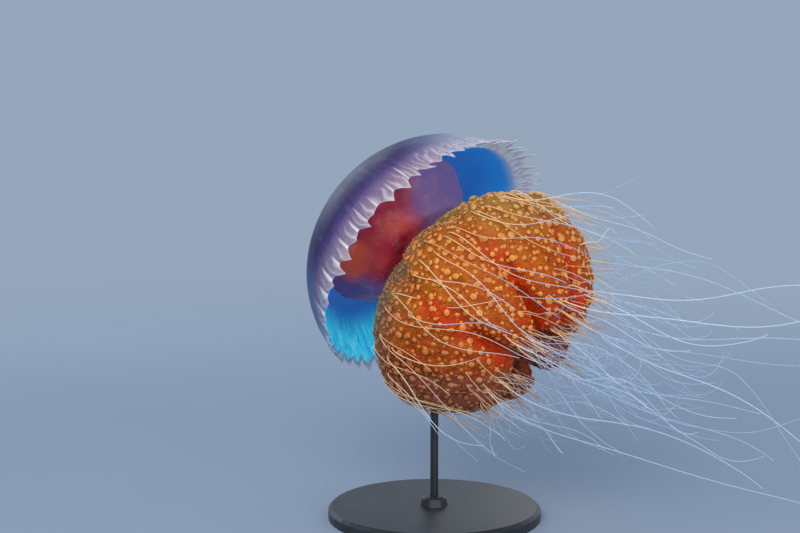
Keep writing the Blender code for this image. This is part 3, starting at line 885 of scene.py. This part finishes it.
def build_buds(settings):
    """Knobs in three sizes, and the granules between them."""
    skin = bpy.data.objects["arms_skin"]
    rng = np.random.default_rng(settings.seed)
    tree = BVHTree.FromPolygons([v.co for v in skin.data.vertices], [p.vertices for p in skin.data.polygons])
    made = []

    def on_arms(places, outward):
        local = transform(places, TO_BODY)
        radius = np.hypot(local[:, 0], local[:, 1])
        chance = soft_step(arm_share(local), 0.0, 0.2) * soft_step(radius, 0.03, 0.05)
        chance *= 1 - 0.7 * groove_nearness(local)
        return chance * exposure(tree, places, outward, 0.02)

    def on_shoulders(places, outward):
        chance = 0.35 + 0.65 * (1 - soft_step(arm_share(transform(places, TO_BODY)), 0.1, 0.35))
        return chance * exposure(tree, places, outward, 0.01)

    for label, wanted, spacing, low, high, grid in (
            ("large", settings.large_knobs, 0.0068, 0.0017, 0.0029, (14, 5)),
            ("middle", settings.middle_knobs, 0.0047, 0.0013, 0.0019, (12, 5)),
            ("small", settings.small_knobs, 0.0034, 0.0006, 0.001, (8, 4))):
        places, outward = scatter(skin, wanted, spacing, rng, on_arms)
        sizes = low + (high - low) * rng.random(len(places)) ** 1.3
        made.append(sprout(f"knobs_{label}", places, outward, sizes, rng, grid, 0.62, 0.24))
    places, outward = scatter(skin, settings.granules, 0.0016, rng, on_shoulders)
    sizes = rng.uniform(0.00035, 0.00065, len(places))
    made.append(sprout("granules", places, outward, sizes, rng, (5, 2), 1.4, 0.6))
    return made


def knob_finish(settings):
    """Peach and amber beads, palest round the heart and more orange towards the skin, with painted light and
    shade laid over them by side.
    """
    f = Finish("arm_knob")
    crown, tint, share, front, side = f.traits("crown tint share front side")
    bead = f.mix(0.45 * tint, f.ramp(crown, (
        (0.0, (184, 90, 26)), (0.18, (206, 120, 46)), (0.45, (220, 144, 66)),
        (0.8, (226, 156, 80)), (1.0, (208, 126, 48)))), settings.knob_colour)
    # the beads fade on the low shoulders: painted shade
    strong = (0.35 + 0.65 * f.rise(share, 0.02, 0.28)) * (
        1.0 - 0.6 * f.rise(-side, 0.25, 0.85) * f.fall(share, 0.15, 0.5))
    colour = f.coats(
        arm_colour(f),
        (strong * f.rise(crown, -0.5, 0.1), bead),
        # painted light on the high shoulders, painted shade on the low side and on its olive-grey shoulders,
        # painted fill light on the underside, and painted shade on the far side
        (0.6 * f.rise(side, 0.25, 0.85) * f.fall(share, 0.35, 0.75), (200, 164, 92)),
        (0.6 * f.rise(-side, 0.1, 0.8), (146, 72, 36)),
        (0.8 * f.rise(-side, 0.1, 0.65) * f.fall(share, 0.16, 0.52), (132, 114, 88)),
        (0.62 * underside(f, share, -side), (188, 128, 96)),
        (0.45 * f.rise(-front - 0.25 * side, 0.3, 0.9), (128, 70, 48)))
    return f.close(
        Base_Color=colour, Roughness=tint * 0.15 + 0.4, Subsurface_Weight=0.15,
        Subsurface_Scale=0.002, Specular_IOR_Level=0.25)


def granule_finish():
    """Fine pale grains, cream on the shoulders and amber further down, less pale on the low side as painted
    shade.
    """
    f = Finish("arm_granule")
    tint, share, side = f.traits("tint share side")
    pale = f.mix(tint, (196, 136, 74), (216, 178, 130))
    # the grains turn less pale on the low side: painted shade
    strong = (0.25 + 0.4 * f.fall(share, 0.05, 0.35)) * (1.0 - 0.6 * f.rise(-side, 0.1, 0.7))
    return f.close(Base_Color=f.mix(strong, arm_colour(f), pale), Roughness=tint * 0.2 + 0.35)


# ------------ filaments

def arms_surface():
    """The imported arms' skin, for finding where the filaments spring from it."""
    verts, faces = [], []
    for name in ARM_NODES:
        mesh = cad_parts[name].data
        first = len(verts)
        verts += [v.co.copy() for v in mesh.vertices]
        faces += [[first + i for i in p.vertices] for p in mesh.polygons]
    return BVHTree.FromPolygons(verts, faces)


def whip_root(surface, azimuth, polar_angle):
    direction = Vector((sin(polar_angle) * cos(azimuth), sin(polar_angle) * sin(azimuth), -cos(polar_angle)))
    probe = BODY @ (Vector((0.0, 0.0, -ARMS_MIDDLE)) + direction * PROBE_DISTANCE)
    point = surface.find_nearest(probe)[0]
    return point, (probe - point).normalized()


def bezier(handles, t):
    a, b, c, d = (np.array(h) for h in handles)
    t = t[:, None]
    s = 1 - t
    return s ** 3 * a + 3 * s * s * t * b + 3 * s * t * t * c + t ** 3 * d


def heading(pitch, yaw):
    return Vector((cos(pitch) * cos(yaw), cos(pitch) * sin(yaw), sin(pitch)))


def along_route(length, step):
    return np.linspace(0, 1, max(round(length / step), 12))


def whip_route(surface, whip, phase):
    """The route of a main filament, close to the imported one, from inside the skin to its tip."""
    root, normal = whip_root(surface, radians(whip.azimuth), radians(whip.polar))
    start = root + normal * ROOT_LIFT
    tip = Vector(whip.tip)
    last = heading(radians(whip.pitch), radians(whip.yaw))
    span = (tip - start).length
    handle = HANDLE_SHARE * span
    t = along_route(span, 0.0035)
    route = bezier((start, start + (TRAIL + normal).normalized() * handle, tip - last * handle, tip), t)
    sway = SWAY * np.sin(pi * t) * np.sin(SWAY_TURNS * 2 * pi * t + phase)
    route[:, 1] += SWAY_DEPTH * sway
    route[:, 2] += sway
    return np.concatenate([[root - normal * MAIN_ROOT_SUNK], route])


def free_route(rng, root, normal, length, rise, step=0.003):
    """A fine filament's route: out of the skin, along the trail, then bending by rise in loose curves."""
    spread = Vector(rng.normal(0, 0.17, 3))
    out = (TRAIL + 0.55 * normal + spread).normalized()
    along = (TRAIL + 0.8 * spread + Vector((0, 0, 0.3 * rise))).normalized()
    pitch, yaw = rng.normal(-0.2, 0.45) + 0.6 * rise, rng.normal(-0.3, 0.25)
    tip = root + out * length * 0.45 + along * length * 0.5
    t = along_route(length, step)
    route = bezier((root, root + out * length * 0.35, tip - heading(pitch, yaw) * length * 0.33, tip), t)
    turns, phase = rng.uniform(0.6, 1.6), rng.uniform(0, 2 * pi)
    sway = rng.uniform(0.004, 0.013) * min(length / 0.1, 1.4) * t * np.sin(turns * 2 * pi * t + phase)
    shiver = rng.uniform(0.0, 0.0016) * t * np.sin(3.7 * turns * 2 * pi * t + 2.3 * phase)
    route[:, 1] += 0.45 * sway - shiver
    route[:, 2] += sway + shiver
    if rng.random() < CURLED_SHARE:
        end = np.clip((t - 0.62) / 0.38, 0.0, 1.0)
        curl = rng.uniform(0.003, 0.006) * end ** 0.7
        route[:, 0] += curl * (np.cos(8.0 * end) - 1)
        route[:, 2] += curl * np.sin(8.0 * end)
    return np.concatenate([[root - normal * FINE_ROOT_SUNK], route])


def draped_route(surface, rng, azimuth, depth, length, step=0.0026):
    """A filament that lies over the lobes and then hangs on past them."""
    away = Vector((cos(azimuth) * DRAPE_PROBE, sin(azimuth) * DRAPE_PROBE, -depth))
    place, normal, _, _ = surface.find_nearest(BODY @ away)
    course = (TRAIL * rng.uniform(0.6, 1.0) - APEX * rng.uniform(0.15, 0.75)).normalized()
    course = (course + Vector(rng.normal(0, 0.06, 3))).normalized()
    bend = Vector(rng.normal(0, 1.0, 3)) * 1.4
    turning, phase, swinging = rng.uniform(35.0, 85.0), rng.uniform(0, 2 * pi), rng.uniform(6.0, 22.0)
    clearance = rng.uniform(0.001, 0.0024)
    points = [place - normal * FINE_ROOT_SUNK]
    p = place + normal * 0.0012
    travelled = 0.0
    while travelled < length:
        points.append(p.copy())
        swing = sin(travelled * turning + phase) * swinging
        course = (course + (bend + Vector((0.3 * swing, 0, swing))) * step).normalized()
        p = p + course * step
        near, facing, _, distance = surface.find_nearest(p)
        if (p - near).dot(facing) < clearance and distance < DRAPE_HOLD:
            p = near + facing * clearance
        travelled += step
    route = np.array(points)
    for _ in range(6):
        route[1:-1] = (route[:-2] + 2 * route[1:-1] + route[2:]) / 4
    return route


def inside_room(route):
    """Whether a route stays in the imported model's box and above the stand."""
    low, high = np.array(CAD_BOX[0]) + 0.001, np.array(CAD_BOX[1]) - 0.001
    low[2] = LOWEST_FILAMENT
    return np.all(route > low) and np.all(route < high)


def tube(route, root_radius, tip_radius, sides):
    """A thin tapered tube along a route: points, quads, and each point's share of the length and turn."""
    steps = np.gradient(route, axis=0)
    steps /= np.linalg.norm(steps, axis=1)[:, None]
    side = np.cross(steps[0], (0.0, 0.0, 1.0))
    first = []
    for ahead in steps:
        side = side - ahead * (side @ ahead)
        side = side / np.linalg.norm(side)
        first.append(side)
    first = np.array(first)
    second = np.cross(steps, first)
    share = np.linspace(0, 1, len(route))
    radius = root_radius + (tip_radius - root_radius) * share ** 0.8
    turn = round_turns(sides)
    ring = np.cos(turn)[None, :, None] * first[:, None] + np.sin(turn)[None, :, None] * second[:, None]
    points = (route[:, None] + ring * radius[:, None, None]).reshape(-1, 3)
    return points, grid_faces(len(route), sides), np.repeat(share, sides), np.tile(turn, len(route))


def build_whips(name, routes, surface, root_radius, tip_radius, sides, rng):
    """Tubes along all the routes in one mesh, with their traits and their patches of the bake map."""
    points, faces, gaps, tints, patches = [], [], [], [], []
    total = 0
    for route in routes:
        thickness = rng.uniform(0.8, 1.15)
        tube_points, quads, share, turn = tube(route, root_radius * thickness, tip_radius, sides)
        points.append(tube_points)
        faces.append(quads + total)
        total += len(tube_points)
        gaps.append(np.repeat([surface.find_nearest(Vector(place))[3] for place in route], sides))
        tints.append(np.full(len(tube_points), rng.random()))
        place = unwrap_place(transform(route[1:2], TO_BODY))[0]
        patches.append(place + np.stack([share - 0.5, turn / (2 * pi) - 0.5], -1) * PATCH)
    obj = mesh_object(name, np.concatenate(points), np.concatenate(faces))
    set_traits(obj.data, reach=soft_step(np.concatenate(gaps), *REACH), tint=np.concatenate(tints))
    set_bake_map(obj.data, np.concatenate(patches))
    return obj


def whip_finish(settings):
    """Peach near the arms and glassy, faintly blue, beyond them."""
    f = Finish("filament_glass")
    reach, tint = f.traits("reach tint")
    warm = f.mix(tint, (222, 172, 124), (238, 204, 162))
    clear = f.mix(tint, (150, 176, 208), settings.tip_colour)
    colour = f.mix(reach + 0.15 * (f.cloud(80.0) - 0.5), warm, clear)
    return f.close(Base_Color=colour, Roughness=tint * 0.15 + 0.38, Specular_IOR_Level=0.18)


def build_filaments(settings):
    """The main filaments, and finer ones: off the arms, out of the notch, over the lobes and a fringe."""
    surface = arms_surface()
    rng = np.random.default_rng(settings.seed)
    main = [whip_route(surface, w, PHASE_STEP * n) for n, w in enumerate(MAIN_WHIPS, start=1)]
    made = [build_whips("filaments_main", main, surface, 0.00055, 0.00026, 8, rng)]
    turns = count()

    def trail():
        azimuth = rng.uniform(-70, 200) if rng.random() < 0.8 else rng.uniform(-180, 180)
        root, normal = whip_root(surface, radians(azimuth), radians(rng.uniform(8, 60)))
        return free_route(rng, root, normal, rng.triangular(0.05, 0.1, 0.24), rng.normal(0, 0.6))

    def from_notch():
        azimuth, radius = rng.uniform(0, 2 * pi), rng.uniform(0.004, 0.036)
        root = BODY @ Vector((radius * cos(azimuth), radius * sin(azimuth), -NOTCH_DEPTH))
        return free_route(rng, root, -APEX, rng.triangular(0.05, 0.08, 0.17), rng.normal(-0.2, 0.4))

    def drape():
        azimuth = DRAPE_START + DRAPE_STEP * (next(turns) + rng.uniform(-0.4, 0.4))
        return draped_route(surface, rng, radians(azimuth), rng.uniform(-0.004, 0.048),
                            rng.triangular(0.05, 0.09, 0.16))

    def fringe():
        azimuth, down = rng.uniform(-pi, pi), radians(rng.uniform(0, 58))
        root, normal = whip_root(surface, azimuth, down)
        return free_route(rng, root, normal, rng.uniform(0.016, 0.05), rng.normal(0, 0.3), 0.0018)

    for name, wanted, draw, root_radius, tip_radius in (
            ("filaments_trailing", settings.trailing, trail, 0.00032, 0.00017),
            ("filaments_notch", settings.notch, from_notch, 0.00026, 0.00015),
            ("filaments_draped", settings.draped, drape, 0.00042, 0.0002),
            ("filaments_fringe", settings.fringe, fringe, 0.00024, 0.00013)):
        routes = []
        while len(routes) < wanted:
            route = draw()
            if inside_room(route):
                routes.append(route)
        made.append(build_whips(name, routes, surface, root_radius, tip_radius, 6, rng))
    return made


# ------------ stand and stage

def stand_finish(settings):
    """Satin black paint with a fine texture, a little worn."""
    f = Finish("stand_satin")
    wear = f.cloud(45.0, 5.0, 0.6)
    colour = f.mix(f.rise(wear, 0.45, 0.75), settings.stand_colour, (54, 56, 60))
    return f.close(Base_Color=colour, Roughness=0.32 + 0.18 * wear, Metallic=0.25,
                   Normal=f.bump(f.cloud(900.0, 2.0), 0.25, 0.0002))


def floor_finish():
    """A plain pale sweep that fades into the background far from the stand."""
    f = Finish("floor_sweep")
    away = f.node("ShaderNodeVectorMath", {"operation": "LENGTH"}, {0: f.place()}, output="Value")
    tone = f.mix(f.cloud(3.0), (146, 160, 178), (151, 165, 183))
    return f.close(Base_Color=tone, Roughness=0.9, Alpha=f.fall(away, 0.35, 1.75), Specular_IOR_Level=0.0)


def add_area_light(name, place, size, power, colour):
    light = bpy.data.lights.new(name, "AREA")
    light.shape = "DISK"
    light.size = size
    light.energy = power
    light.color = colour
    obj = link_object(name, light)
    obj.location = place
    obj.rotation_euler = (MARGIN_CENTRE - Vector(place)).to_track_quat("-Z", "Y").to_euler()


def build_stage(settings):
    """The floor, the air of the studio, four soft lights and the camera."""
    scene = bpy.context.scene
    mesh_data = bmesh.new()
    bmesh.ops.create_circle(mesh_data, cap_ends=True, segments=96, radius=3.0)
    mesh = bpy.data.meshes.new("floor")
    mesh_data.to_mesh(mesh)
    mesh_data.free()
    mesh.materials.append(floor_finish())
    ground = link_object("floor", mesh)

    world = bpy.data.worlds.new("studio_air")
    world.use_nodes = True
    air = world.node_tree.nodes["Background"]
    air.inputs["Color"].default_value = settings.air_colour
    air.inputs["Strength"].default_value = settings.air_strength
    scene.world = world

    for name, place, size, share, colour in (
            ("key", (-0.35, -1.35, 1.05), 1.1, 1.0, (1.0, 0.98, 0.95)),
            ("fill", (0.9, -1.3, 0.15), 1.2, 0.5, (1.0, 0.99, 0.97)),
            ("back", (0.7, 1.5, 0.9), 1.3, 0.3, (1.0, 0.99, 0.97)),
            ("rim", (-0.7, 1.1, 0.8), 0.9, 0.22, (0.92, 0.97, 1.0))):
        add_area_light(name, place, size, settings.key_power * share, colour)

    camera = link_object("camera", bpy.data.cameras.new("camera"))
    ahead = Vector((0.0, cos(VIEW_DROP), -sin(VIEW_DROP)))
    camera.location = AIM - ahead * CAMERA_DISTANCE
    camera.rotation_euler = ahead.to_track_quat("-Z", "Y").to_euler()
    camera.data.lens = FOCAL_LENGTH
    camera.data.sensor_width = 36.0
    scene.camera = camera
    scene.view_settings.view_transform = "Standard"


# ------------ settings

def a_seed(default, description):
    return IntProperty(name="Seed", description=description, default=default, min=0)


def a_number(name, default, description="Number wanted"):
    return IntProperty(name=name, description=description, default=default, min=1)


def a_length(name, default, description):
    return FloatProperty(name=name, description=description, default=default, unit="LENGTH", precision=5)


def a_share(name, default, description):
    return FloatProperty(
        name=name, description=description, default=default, min=0.0, max=1.0, subtype="FACTOR")


def a_colour(name, default, description):
    return FloatVectorProperty(
        name=name, description=description, default=paint(*default), size=4, min=0.0, max=1.0,
        subtype="COLOR")


class BellSettings(bpy.types.PropertyGroup):
    """Sizes and colours of the bell."""

    seed: a_seed(7, "Start of the lappets' variation")
    width_spread: a_share("Width spread", 0.42, "How uneven the lappets' widths are")
    short_lappets: a_share("Short lappets", 0.2, "Share of lappets that stay short")
    furrow_depth: a_length("Furrow depth", 0.002, "Depth of the radial furrows above the lappets")
    fold_depth: a_length("Fold depth", 0.0007, "Depth of the fine folds near the rim")
    lappet_curl: a_length("Lappet curl", 0.0024, "How far lappet tips bend in or out")
    lappet_puff: a_length("Lappet puff", 0.001, "Thickness of a lappet's middle")
    lappet_lean: a_length("Lappet lean", 0.0058, "How far lappet tips lean sideways")
    lining_colour: a_colour("Lining", (30, 122, 200), "Blue of the lining, away from its bright low side")


class ArmSettings(bpy.types.PropertyGroup):
    """Sizes, numbers and colours of the stomach, the arms and what covers them."""

    seed: a_seed(11, "Start of the knobs' variation")
    stomach_voxel: a_length("Stomach grain", 0.0016, "Mesh size of the stomach")
    pleat_depth: a_length("Pleat depth", 0.001, "Depth of the stomach's folds")
    stomach_lumps: a_length("Stomach lumps", 0.0014, "Unevenness of the stomach wall")
    valley_depth: a_length("Valley depth", 0.0042, "Depth of the valleys between the arms' upper halves")
    clump_height: a_length("Clump height", 0.0016, "Height of the arms' larger clumps")
    frill_height: a_length("Frill height", 0.0004, "Height of the arms' fine frills")
    large_knobs: a_number("Large knobs", 1000)
    middle_knobs: a_number("Middle knobs", 1300)
    small_knobs: a_number("Small knobs", 1000)
    granules: a_number("Granules", 7500)
    stomach_warm: a_colour("Stomach patches", (214, 80, 44), "Orange-red patches of the stomach")
    # colour of the painted glow in the arms' grooves
    groove_painted_glow: a_colour("Groove glow", (200, 64, 8), "Light that comes through the walls of the grooves")
    knob_colour: a_colour("Knobs", (200, 106, 34), "Tint of the more orange knobs")


class FilamentSettings(bpy.types.PropertyGroup):
    """Numbers and colour of the finer filaments."""

    seed: a_seed(5, "Start of the filaments' variation")
    trailing: a_number("Trailing", 28, "Fine filaments off the arms")
    notch: a_number("Notch", 26, "Filaments out of the hollow under the arms")
    draped: a_number("Draped", 74, "Filaments over the lobes")
    fringe: a_number("Fringe", 110, "Short fine filaments at the arms' ends")
    tip_colour: a_colour("Tips", (192, 210, 230), "Palest colour of the filaments beyond the arms")


class StageSettings(bpy.types.PropertyGroup):
    """The stand's paint and the light of the studio."""

    stand_colour: a_colour("Stand", (38, 40, 44), "Paint of the stand")
    key_power: FloatProperty(
        name="Key power", description="Power of the main light", default=20.0, unit="POWER")
    air_strength: FloatProperty(name="Air strength", description="Brightness of the background", default=0.8)
    air_colour: a_colour("Air", (166, 184, 206), "Colour of the background")


SETTINGS = {
    "jelly_bell": BellSettings,
    "jelly_arms": ArmSettings,
    "jelly_filaments": FilamentSettings,
    "jelly_stage": StageSettings,
}


# ------------ operators

def place_piece(obj, slot, material, *nodes):
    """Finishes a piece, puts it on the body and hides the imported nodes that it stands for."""
    cover(obj, material)
    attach(obj, "root")
    if nodes:
        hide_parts(*nodes)


def cover(obj, material):
    obj.data.materials.clear()
    obj.data.materials.append(material)


class JELLY_OT_bell(bpy.types.Operator):
    """Build the bell with its lappets"""

    bl_idname = "jelly.bell"
    bl_label = "Bell"

    def execute(self, context):
        settings = context.scene.jelly_bell
        place_piece(build_bell(settings), "bell", bell_finish(settings), "bell_crown", *MARGIN_NODES)
        return {"FINISHED"}


class JELLY_OT_stomach(bpy.types.Operator):
    """Build the stomach under the bell"""

    bl_idname = "jelly.stomach"
    bl_label = "Stomach"

    def execute(self, context):
        settings = context.scene.jelly_arms
        place_piece(build_stomach(settings), "stomach", stomach_finish(settings), "stomach")
        return {"FINISHED"}


class JELLY_OT_arms(bpy.types.Operator):
    """Build the skin of the eight oral arms"""

    bl_idname = "jelly.arms"
    bl_label = "Oral arms"

    def execute(self, context):
        settings = context.scene.jelly_arms
        place_piece(build_arms(settings), "arm", arms_finish(settings), *ARM_NODES)
        return {"FINISHED"}


class JELLY_OT_buds(bpy.types.Operator):
    """Cover the arms with knobs and granules"""

    bl_idname = "jelly.buds"
    bl_label = "Knobs and granules"

    def execute(self, context):
        settings = context.scene.jelly_arms
        knob, granule = knob_finish(settings), granule_finish()
        for obj in build_buds(settings):
            place_piece(obj, "arm", granule if obj.name == "granules" else knob)
        return {"FINISHED"}


class JELLY_OT_filaments(bpy.types.Operator):
    """Grow the filaments from the arms"""

    bl_idname = "jelly.filaments"
    bl_label = "Filaments"

    def execute(self, context):
        settings = context.scene.jelly_filaments
        glass = whip_finish(settings)
        packed = sorted(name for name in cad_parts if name.startswith("filament_"))
        for obj in build_filaments(settings):
            place_piece(obj, "filament", glass, *(packed if obj.name == "filaments_main" else ()))
        return {"FINISHED"}


class JELLY_OT_stand(bpy.types.Operator):
    """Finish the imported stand"""

    bl_idname = "jelly.stand"
    bl_label = "Stand"

    def execute(self, context):
        satin = stand_finish(context.scene.jelly_stage)
        for name in ("stand_base", "stand_rod"):
            cover(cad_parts[name], satin)
        return {"FINISHED"}


class JELLY_OT_stage(bpy.types.Operator):
    """Set the floor, the light and the camera"""

    bl_idname = "jelly.stage"
    bl_label = "Stage"

    def execute(self, context):
        build_stage(context.scene.jelly_stage)
        return {"FINISHED"}


OPERATORS = (JELLY_OT_bell, JELLY_OT_stomach, JELLY_OT_arms, JELLY_OT_buds, JELLY_OT_filaments,
             JELLY_OT_stand, JELLY_OT_stage)


class JELLY_PT_panel(bpy.types.Panel):
    """Lists the jellyfish's pieces and their settings"""

    bl_idname = "JELLY_PT_panel"
    bl_label = "Tomato jellyfish"
    bl_space_type = "VIEW_3D"
    bl_region_type = "UI"
    bl_category = "Jellyfish"

    def draw(self, context):
        for operator in OPERATORS:
            self.layout.operator(operator.bl_idname)
        for name in SETTINGS:
            box = self.layout.box()
            group = getattr(context.scene, name)
            for key in group.__annotations__:
                box.prop(group, key)


CLASSES = (*SETTINGS.values(), *OPERATORS, JELLY_PT_panel)


def register():
    for cls in CLASSES:
        bpy.utils.register_class(cls)
    for name, group in SETTINGS.items():
        setattr(bpy.types.Scene, name, PointerProperty(type=group))


def unregister():
    for name in SETTINGS:
        delattr(bpy.types.Scene, name)
    for cls in reversed(CLASSES):
        bpy.utils.unregister_class(cls)


def main():
    register()
    bpy.ops.jelly.bell()
    bpy.ops.jelly.stomach()
    bpy.ops.jelly.arms()
    bpy.ops.jelly.buds()
    bpy.ops.jelly.filaments()
    bpy.ops.jelly.stand()
    bpy.ops.jelly.stage()
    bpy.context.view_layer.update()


if __name__ == "__main__":
    main()
